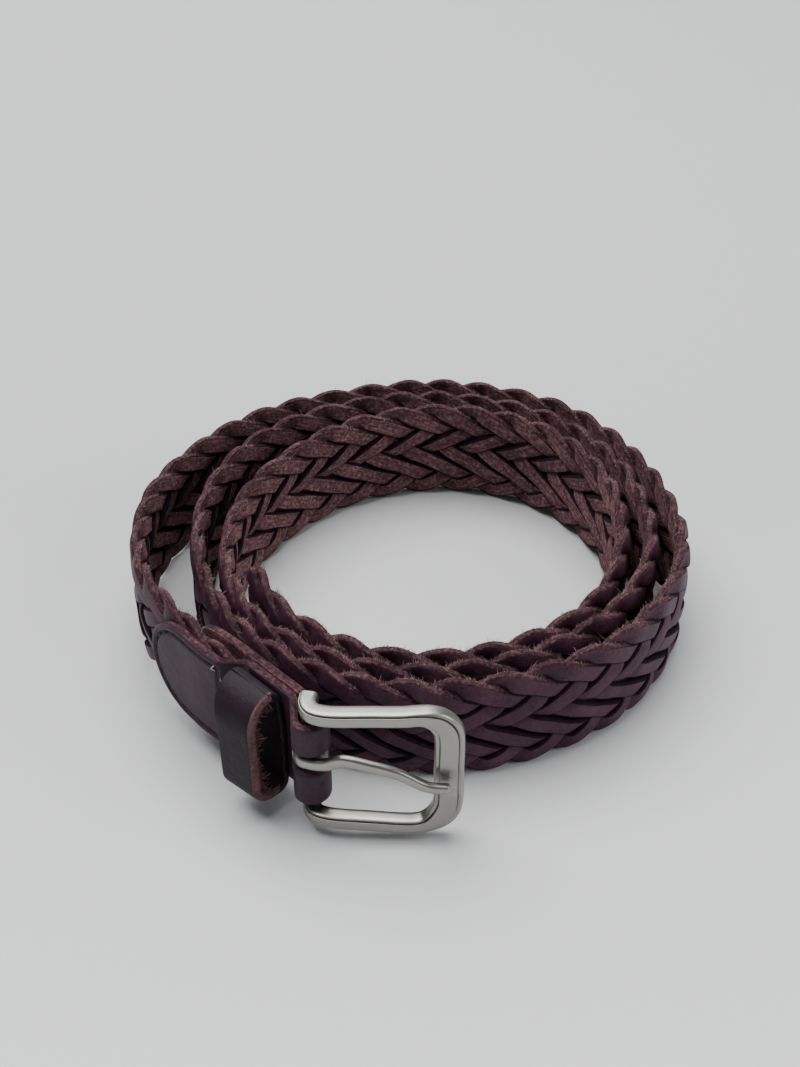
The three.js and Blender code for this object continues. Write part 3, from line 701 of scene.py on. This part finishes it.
# %% The keeper's outline
def band_outline(back, front, half, radii):
    """Upper front, upper back, lower back and lower front corner: a centre plus the radius times (cosine,
    sine), and then even steps to the next corner."""
    corner = np.array([[front, half], [back, half], [back, -half], [front, -half]])
    inward = -np.sign(corner - [(back + front) / 2, 0])
    turn = np.pi / 2 * (np.arange(4)[:, None] + np.linspace(0, 1, ARC_POINTS))
    arcs = (corner + inward * radii[:, None])[:, None] + radii[:, None, None] * np.stack(
        [np.cos(turn), np.sin(turn)], -1)
    share = np.linspace(0, 1, LINE_POINTS + 2)[1:-1, None]
    lines = arcs[:, None, -1] * (1 - share) + np.roll(arcs, -1, 0)[:, None, 0] * share
    outline = np.concatenate([arcs, lines], 1).reshape(-1, 2)
    on_front = outline[:, 0] > (back + front) / 2
    bulge = KEEPER_BULGE * (1 - (outline[:, 1] / half) ** 2).clip(0, 1) * on_front
    return outline + np.stack([bulge, 0 * bulge], 1)


def keeper_point(row, width_share, depth_share):
    """A place in the band: the outline's row, the share of the width away from the buckle, and the share of
    the leather's depth from the inside to the outside."""
    back = seat + KEEPER_BACK_THICKNESS
    corners = []
    for flare in (0, KEEPER_FLARE):
        front = back + KEEPER_ROOM + flare
        corners.append((band_outline(back, front, keeper_half, KEEPER_RADII),
                        band_outline(seat, front + KEEPER_THICKNESS, keeper_half + KEEPER_THICKNESS,
                                     KEEPER_RADII + KEEPER_THICKNESS)))
    near, far = (inside[row] * (1 - depth_share[..., None]) + outside[row] * depth_share[..., None]
                 for inside, outside in corners)
    flat = near * (1 - width_share[..., None]) + far * width_share[..., None]
    lean = KEEPER_NEAR_LEAN + (KEEPER_FAR_LEAN - KEEPER_NEAR_LEAN) * width_share
    lean = lean * (flat[..., 1].clip(0) / keeper_half) ** 2
    setback = KEEPER_SETBACK + KEEPER_WIDTH * width_share + lean
    ground = BAR - setback[..., None] * run + flat[..., :1] * run_out
    return np.concatenate([ground, flat[..., 1:] + BUCKLE_MIDDLE - KEEPER_DROP], -1) + SHIFT


# %% [markdown]
# The section is a rounded rectangle again, carried round the outline. A sine roughens the cut edge on the
# inside. The back, which lies on the tab, has the dark colour of the face on its cut edges too: painted
# shade where the back lies against the tab.

# %% The keeper
band = rounded_section(KEEPER_WIDTH, KEEPER_THICKNESS, KEEPER_CORNER, across=12)
rows = np.arange(4 * QUARTER)
width_share = 0.5 - band[None, :, 0] / KEEPER_WIDTH + 0 * rows[:, None]
rough = KEEPER_ROUGHNESS * np.sin(rows * 2.3) * np.sin(rows * 0.71)
depth_share = 0.5 + band[None, :, 1] / KEEPER_THICKNESS
depth_share = depth_share + (rough[:, None] * (depth_share < 0.4) * (width_share < 0.1))
keeper_grid = keeper_point(rows[:, None] + 0 * width_share.astype(int), width_share, depth_share)
band_middle = (band + np.roll(band, -1, 0)) / 2
band_flat = np.abs(band_middle[:, 0]) < KEEPER_WIDTH / 2 - 0.3
flat_kinds, edge_kinds = np.where(band_middle[:, 1] > 0, 0, 1), np.where(band_middle[:, 0] > 0, 2, 0)
keeper_strips = np.where(band_flat, flat_kinds, edge_kinds)
keeper = add_mesh("keeper_band", keeper_grid, [keeper_leather, keeper_inside_painted_shade, rough_rim], round_rows=True,
                  strips=keeper_strips)
# Painted shade: on the back, where it lies against the tab, the cut edges take the dark face leather, not
# the pale rough rim.
on_back = (rows[:, None] >= QUARTER - 4) & (rows[:, None] < 3 * QUARTER - 14)
kinds = np.where(on_back & (keeper_strips == 2), 0, keeper_strips)
keeper.data.polygons.foreach_set("material_index", kinds.ravel().astype(np.int32))
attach(keeper, "belt")
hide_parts("keeper_loop")
print("the keeper has", len(keeper.data.polygons), "faces")

# %% [markdown]
# ## Loose fibres
#
# Cut leather frays. Each fibre is a thin three-sided cone that bends as it rises: a start, plus its length
# times its direction, plus a bend that grows with the square of the share.


# %% Fibres
FIBRES_PER_LACE = 9600
FIBRE_BEND = 0.35
FRAYED_PHASE = 1.5
BARE_TIP, BARE_TAB_END, FIBRE_INSET = 3, 12, 0.12
FIBRE_SCATTER, FIBRE_INWARD, FIBRE_UPWARD = 0.45, 0.45, 0.75


def add_fibres(name, start, direction, length, radius, material, rows=3):
    """Many cones in one mesh. Points are start + t length direction + t squared bend, plus three corners
    round it, whose radius falls to nothing at the tip."""
    count = len(start)
    t = np.linspace(0, 1, rows)[None, :, None]
    bend = draws.normal(0, FIBRE_BEND, (count, 1, 3)) * length[:, None, None]
    middle = start[:, None] + direction[:, None] * length[:, None, None] * t + bend * t**2
    side_a = unit_length(np.cross(direction, [0.3, 0.5, 0.8]))
    side_b = np.cross(direction, side_a)
    turn = np.arange(3)[:, None] * 2 * np.pi / 3
    round_it = side_a[:, None, None] * np.cos(turn) + side_b[:, None, None] * np.sin(turn)
    points = middle[:, :, None] + round_it * (radius[:, None, None, None] * (1 - 0.9 * t[..., None]))
    return add_tubes(name, points, material)[0]


draws = np.random.default_rng(7)
starts, lifts = [], []
for number in range(LACES):
    along = draws.uniform(edge_low + BARE_TIP, edge_high - BARE_TAB_END, FIBRES_PER_LACE)
    distance = np.mod(2 * (along / PITCH - FIRST_LACE - number) + LACES, 2 * LACES) - LACES
    along = along[np.abs(distance) < FRAYED_PHASE]
    starts.append(lace(number, along, 0 * along + LACE_WIDTH / 2 - FIBRE_INSET,
                       draws.triangular(-0.5, -0.4, 0.4, len(along)) * (LACE_THICKNESS - 0.2)))
    lifts.append(on_route(along)[1])
start, lifted = np.concatenate(starts), np.concatenate(lifts)
wild = draws.normal(0, FIBRE_SCATTER, start.shape)
upward = np.full((len(start), 1), FIBRE_UPWARD)
direction = unit_length(wild + np.concatenate([-FIBRE_INWARD * lifted, upward], 1))
length = draws.gamma(1.8, 0.24, len(start)).clip(0.2, 2.0)
radius = draws.uniform(0.04, 0.11, len(start))
fringe = add_fibres("braid_fibres", start, direction, length, radius, fibre)
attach(fringe, "belt")
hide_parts("braided_strap")
print("fibres on the braid:", len(start))

# %% [markdown]
# The keeper's cut edge is torn into teeth that point into the opening. They start in the leather near the
# inside and lean towards the middle. A few fine fibres hang from the far edge below. Rows of the outline
# run from the upper front corner over the back to the lower front corner, and then up the front.

# %% Frayed leather on the keeper
teeth, hairs = 170, 26
HAIR_ROWS = (100, 110)
TOOTH_ROWS = np.concatenate([np.arange(0, 12), np.arange(92, 4 * QUARTER)])
row = draws.choice(TOOTH_ROWS, teeth)
start = keeper_point(row, draws.uniform(0, 0.03, teeth), draws.uniform(0.05, 0.35, teeth))
toward = keeper_point(row, draws.uniform(-0.06, 0.06, teeth), draws.uniform(-1.1, -0.6, teeth))
direction = unit_length(toward - start)
teeth_mesh = add_fibres("keeper_fray", start, direction, draws.gamma(5, 0.2, teeth).clip(0.4, 1.5),
                        draws.uniform(0.24, 0.5, teeth), rough_rim)
row = draws.integers(*HAIR_ROWS, hairs)
start = keeper_point(row, draws.uniform(0.96, 1.0, hairs), draws.uniform(0.2, 0.9, hairs))
direction = unit_length(np.array([-0.6, 0.3, -0.35]) + draws.normal(0, 0.35, (hairs, 3)))
fringe_mesh = add_fibres("keeper_back_fray", start, direction, draws.uniform(0.3, 1.0, hairs),
                         draws.uniform(0.05, 0.12, hairs), keeper_leather)
for piece in (teeth_mesh, fringe_mesh):
    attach(piece, "belt")
    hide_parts("keeper_loop")
print("fibres on the keeper:", teeth + hairs)

# %% [markdown]
# ## The buckle
#
# The frame and the prong are sections carried along smooth paths. A frame of three directions goes along
# with each path: the slope, the direction across and the direction out.

# %% Sizes of the buckle
FRAME_AZIMUTH, FRAME_LENGTH = -4.0, 31.4
FRAME_ARM_DEPTH, FRAME_END_WIDTH, FRAME_END_DEPTH = 3.8, 6.2, 3.4
FRAME_TAPER, FRAME_CORNER, FRAME_ARCH, FRAME_END_ARCH = 0.9, 6.5, 3.4, 1.7
ARM_ROUTE = np.array([[0, -0.53, 0], [-0.004, 0.12, 0], [0.029, 0.72, 0], [0.109, 1, 0.1], [0.42, 1, 0.6],
                      [0.62, 0.95, 0.9]])
ARM_CORNER_OUT, BAR_RADIUS = 0.85, 1.7
FRAME_ROWS, FRAME_SIDES, BAR_ROWS = 420, 120, 40
FRAME_SQUARENESS = 3.6
CREASE_ANGLES, CREASE_WIDTH, CREASE_DEPTH = (56, 124), 0.11, 0.28
NOTCH_LOW, NOTCH_HIGH, NOTCH_DEPTH = (-6.6, -3.8), (-2.4, 2.2), 0.55
END_PLACE = FRAME_LENGTH - FRAME_END_WIDTH / 2
FRAME_HEIGHT = WINDOW_HEIGHT + 2 * ARM_HEIGHT
print("the frame is", FRAME_HEIGHT, "mm high")


# %% [markdown]
# Places on the buckle are given by the distance from the bar, the distance out and the height. The splines
# are resampled, so that all rows are the same length apart.

# %% Paths on the buckle
def buckle_place(points):
    """Distance from the bar, distance out and height above the middle, turned into places."""
    points = np.asarray(points, float)
    flat = BAR + points[..., :1] * unit(FRAME_AZIMUTH) + points[..., 1:2] * unit(FRAME_AZIMUTH - 90)
    return np.concatenate([flat, points[..., 2:] + BUCKLE_MIDDLE], -1) + SHIFT


def even_path(points, rows):
    """The spline through the points, resampled to even steps of length."""
    dense = catmull_rom(points, 60)
    length = length_along(dense)
    even = np.linspace(0, length[-1], rows)
    return np.stack([np.interp(even, length, dense[:, i]) for i in range(3)], 1)


def directions(path, out_hint):
    """Across and out for each row: out is the hint made square to the slope, and across their cross
    product."""
    slope = unit_length(np.gradient(path, axis=0))
    out = unit_length(out_hint - (out_hint * slope).sum(1, keepdims=True) * slope)
    return np.cross(slope, out), out


arm_height = FRAME_HEIGHT / 2 - ARM_HEIGHT / 2
bar_height = arm_height - FRAME_TAPER
arm = ARM_ROUTE * [FRAME_LENGTH, FRAME_ARCH, FRAME_TAPER] + [0, 0, bar_height]
quarter = np.linspace(0, np.pi / 2, 6)
corner = np.stack([
    END_PLACE - FRAME_CORNER * (1 - np.sin(quarter)),
    FRAME_ARCH * ARM_CORNER_OUT + (FRAME_END_ARCH - FRAME_ARCH * ARM_CORNER_OUT) * np.sin(quarter),
    arm_height - FRAME_CORNER * (1 - np.cos(quarter))], 1)
upper = np.vstack([arm, corner])
lower = (upper * [1, 1, -1])[::-1]
frame_path = even_path(np.vstack([upper, [[END_PLACE, FRAME_END_ARCH, 0]], lower]), FRAME_ROWS)
print(f"the frame's path is {length_along(frame_path)[-1]:.1f} mm long")

# %% [markdown]
# At each arm's end the path turns back behind the bar, so its out direction turns too. The hint for it is
# the path's own sideways direction there.

# %% The frame
slope_path = unit_length(np.gradient(frame_path, axis=0))
sign = np.where(frame_path[:, 2] > 0, 1.0, -1.0)
side_hint = np.stack([-slope_path[:, 1] * sign, np.abs(slope_path[:, 0]), 0 * sign], 1)
side_hint[:, 1] = np.maximum(side_hint[:, 1], 0)
weight = smooth(FRAME_LENGTH * 0.2, FRAME_LENGTH * 0.5, frame_path[:, 0])[:, None]
hint = side_hint * (1 - weight) + np.array([0, 1, 0]) * weight
across_f, out_f = directions(frame_path, hint)
widen = smooth(END_PLACE - FRAME_CORNER, END_PLACE, frame_path[:, 0])
width_f = (ARM_HEIGHT + (FRAME_END_WIDTH - ARM_HEIGHT) * widen) / 2
depth_f = (FRAME_ARM_DEPTH + (FRAME_END_DEPTH - FRAME_ARM_DEPTH) * widen) / 2
angle = np.linspace(0, 2 * np.pi, FRAME_SIDES, endpoint=False)
c, s = (np.sign(f) * np.abs(f) ** (2 / FRAME_SQUARENESS) for f in (np.cos(angle), np.sin(angle)))
off_crease = np.mod(angle - np.radians(CREASE_ANGLES)[:, None] + np.pi, 2 * np.pi) - np.pi
crease = CREASE_DEPTH * np.exp(-((off_crease / CREASE_WIDTH) ** 2)).sum(0)
c, s = c * (1 - crease), s * (1 - crease)
frame_points = (frame_path[:, None] + across_f[:, None] * (width_f[:, None] * c)[..., None]
                + out_f[:, None] * (depth_f[:, None] * s)[..., None])
notch = smooth(*NOTCH_LOW, frame_points[..., 2]) * (1 - smooth(*NOTCH_HIGH, frame_points[..., 2]))
notch = notch * smooth(0.0, 0.9, s)[None, :] * widen[:, None]
frame_points[..., 1] -= NOTCH_DEPTH * notch
casting = add_mesh("frame_casting", buckle_place(frame_points), [nickel])
bar_rows = np.linspace(-bar_height, bar_height, BAR_ROWS)[:, None] + 0 * angle
bar_round = np.stack([np.cos(angle), np.sin(angle)], 1) * BAR_RADIUS + 0 * bar_rows[..., None]
bar_points = np.concatenate([bar_round, bar_rows[..., None]], -1)
bar = add_mesh("frame_bar", buckle_place(bar_points), [nickel])
for piece in (casting, bar):
    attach(piece, "buckle")
    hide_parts("buckle_frame")
print("the frame has", len(casting.data.polygons), "faces")

# %% [markdown]
# The prong is one flat wire: it goes once round the bar and then on to the frame's end.

# %% The prong
PRONG_HEIGHT, PRONG_DEPTH, PRONG_RING_RADIUS, PRONG_GAP = 2.8, 1.9, 3.8, 0.3
PRONG_ROWS, PRONG_SIDES, PRONG_SQUARENESS = 300, 40, 2.8
REST_OUT = FRAME_END_ARCH + FRAME_END_DEPTH / 2 + PRONG_GAP + PRONG_DEPTH / 2
SHANK = np.array([[0.6, 1.55, 0.6], [3.4, 1.05, 1.1], [7.0, 0.6, 2.9], [12.0, 0, 2.5], [18.0, -0.2, 0.9],
                  [24.2, -0.1, -2.6], [28.8, 0, -2.9]])
ring_middle = (PRONG_RING_RADIUS + BAR_RADIUS + PRONG_GAP) / 2
loop_turn = np.radians(np.linspace(380, 95, 14))
loop = np.stack([ring_middle * np.cos(loop_turn), ring_middle * np.sin(loop_turn),
                 np.full(len(loop_turn), PRONG_START)], 1)
shank = np.stack([SHANK[:, 0], REST_OUT - SHANK[:, 1], SHANK[:, 2]], 1)
prong_path = even_path(np.vstack([loop, shank]), PRONG_ROWS)
slope_p = unit_length(np.gradient(prong_path, axis=0))
upright = unit_length(np.array([0, 0, 1.0]) - slope_p[:, 2:] * slope_p)
out_p = np.cross(upright, slope_p)
share = np.linspace(0, 1, PRONG_ROWS)[:, None]
half_tall = PRONG_HEIGHT / 2 * (1 - 0.2 * smooth(0.4, 1, share)) * (1 - 0.12 * smooth(0.3, 0, share))
half_deep = (PRONG_RING_RADIUS - BAR_RADIUS - PRONG_GAP) / 2 + 0.05 * smooth(0.4, 0.6, share)
round_off = np.sqrt(np.clip(1 - ((share - 0.985) / 0.015).clip(0, 1) ** 2, 0.02, 1))
angle = np.linspace(0, 2 * np.pi, PRONG_SIDES, endpoint=False)
c, s = (np.sign(f) * np.abs(f) ** (2 / PRONG_SQUARENESS) for f in (np.cos(angle), np.sin(angle)))
prong_points = (prong_path[:, None] + upright[:, None] * (half_tall * round_off * c)[..., None]
                + out_p[:, None] * (half_deep * round_off * s)[..., None])
prong = add_mesh("prong_wire", buckle_place(prong_points), [nickel])
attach(prong, "prong")
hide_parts("buckle_prong")
print("the prong has", len(prong.data.polygons), "faces")

# %% [markdown]
# ## The setting
#
# A plain pale floor rises into a wall far behind. A large soft light hangs above, and a weak one fills in
# from the right. The floor's colour is painted a little darker towards the back: painted shade for the
# light's fall-off.

# %% Floor and light
# Painted shade: between these depths, in metres, the board's colour darkens towards the back.
FLOOR_SHADE_FADE = (-0.14, 0.06)
FLOOR_FRONT, FLOOR_BACK, FLOOR_HALF_WIDTH, WALL_BEND, WALL_RISE = -1500, 400, 2500, 300, 6000
floor_material, tree, output, coordinates = new_material("pale_matt_board")
place = coordinates.outputs["Object"]
speckle = add(tree, "ShaderNodeTexNoise", {"Vector": place, "Scale": 1000 / 2, "Detail": 4.0})
across_floor = add(tree, "ShaderNodeSeparateXYZ", {"Vector": place})
# far is painted shade: 0 at the front and 1 at the back, added to the speckle to darken the board.
far = add(tree, "ShaderNodeMapRange", {
    "Value": across_floor.outputs["Y"], "From Min": FLOOR_SHADE_FADE[0], "From Max": FLOOR_SHADE_FADE[1]})
speckled = add(tree, "ShaderNodeMath", {
    0: speckle.outputs["Fac"], 1: 0.08, 2: far.outputs["Result"]}, operation="MULTIPLY_ADD")
board = add(tree, "ShaderNodeValToRGB", {"Fac": speckled.outputs["Value"]},
            [(0.0, "#d5d6d7"), (1.0, "#b9babb")])
shader = add(tree, "ShaderNodeBsdfPrincipled", {"Base Color": board.outputs["Color"], "Roughness": 0.8})
tree.links.new(shader.outputs["BSDF"], output.inputs["Surface"])
reach = np.linspace(0, 1, 60)
bend = np.clip((reach - 0.6) / 0.2, 0, 1) * np.pi / 2
flat_y = FLOOR_FRONT + reach / 0.6 * (FLOOR_BACK - FLOOR_FRONT)
floor_y = np.where(reach < 0.6, flat_y, FLOOR_BACK + WALL_BEND * np.sin(bend))
floor_z = WALL_BEND * (1 - np.cos(bend)) + np.clip(reach - 0.8, 0, 1) * WALL_RISE
sweep = np.stack([0 * reach, floor_y, floor_z], 1)
wide = np.linspace(-FLOOR_HALF_WIDTH, FLOOR_HALF_WIDTH, 3)
floor_grid = np.repeat(sweep[:, None], 3, 1) + np.stack([wide, 0 * wide, 0 * wide], 1)[None]
floor = add_mesh("floor", floor_grid, [floor_material], round_columns=False)


def area_light(name, place, target, size, power):
    """A square area light that looks from its place to a target."""
    data = bpy.data.lights.new(name, "AREA")
    data.size, data.energy = size, power
    lamp = link(name, data)
    lamp.location = place
    lamp.rotation_mode = "QUATERNION"
    lamp.rotation_quaternion = (Vector(target) - Vector(place)).to_track_quat("-Z", "Y")
    return lamp


area_light("soft_box_above", (-0.2, 0.3, 1.0), (0, 0, 0), 1.1, 29)
area_light("soft_fill_right", (0.9, -0.2, 0.55), (0, 0, 0), 0.7, 5)
world = bpy.data.worlds.new("studio")
world.use_nodes = True
world.node_tree.nodes["Background"].inputs["Color"].default_value = linear("#dfe2e6")
world.node_tree.nodes["Background"].inputs["Strength"].default_value = 0.29
bpy.context.scene.world = world

# %% [markdown]
# ## The camera
#
# The camera looks down at the coil from the front. Its lens and tilt follow from the photo's perspective:
# the scallops are evenly spaced round the coil, and the strap is equally high everywhere.

# %% Camera
CAMERA_PLACE = np.array([-4.2, -298.5, 256.5])
PITCH_DOWN = 38.25
camera_data = bpy.data.cameras.new("camera")
camera_data.lens, camera_data.sensor_width = 53.98, 36.0
camera = link("camera", camera_data)
camera.location = (CAMERA_PLACE + SHIFT) / 1000
camera.rotation_euler = (np.radians(90 - PITCH_DOWN), 0, 0)
bpy.context.scene.camera = camera
print("camera at", np.round(camera.location, 4))
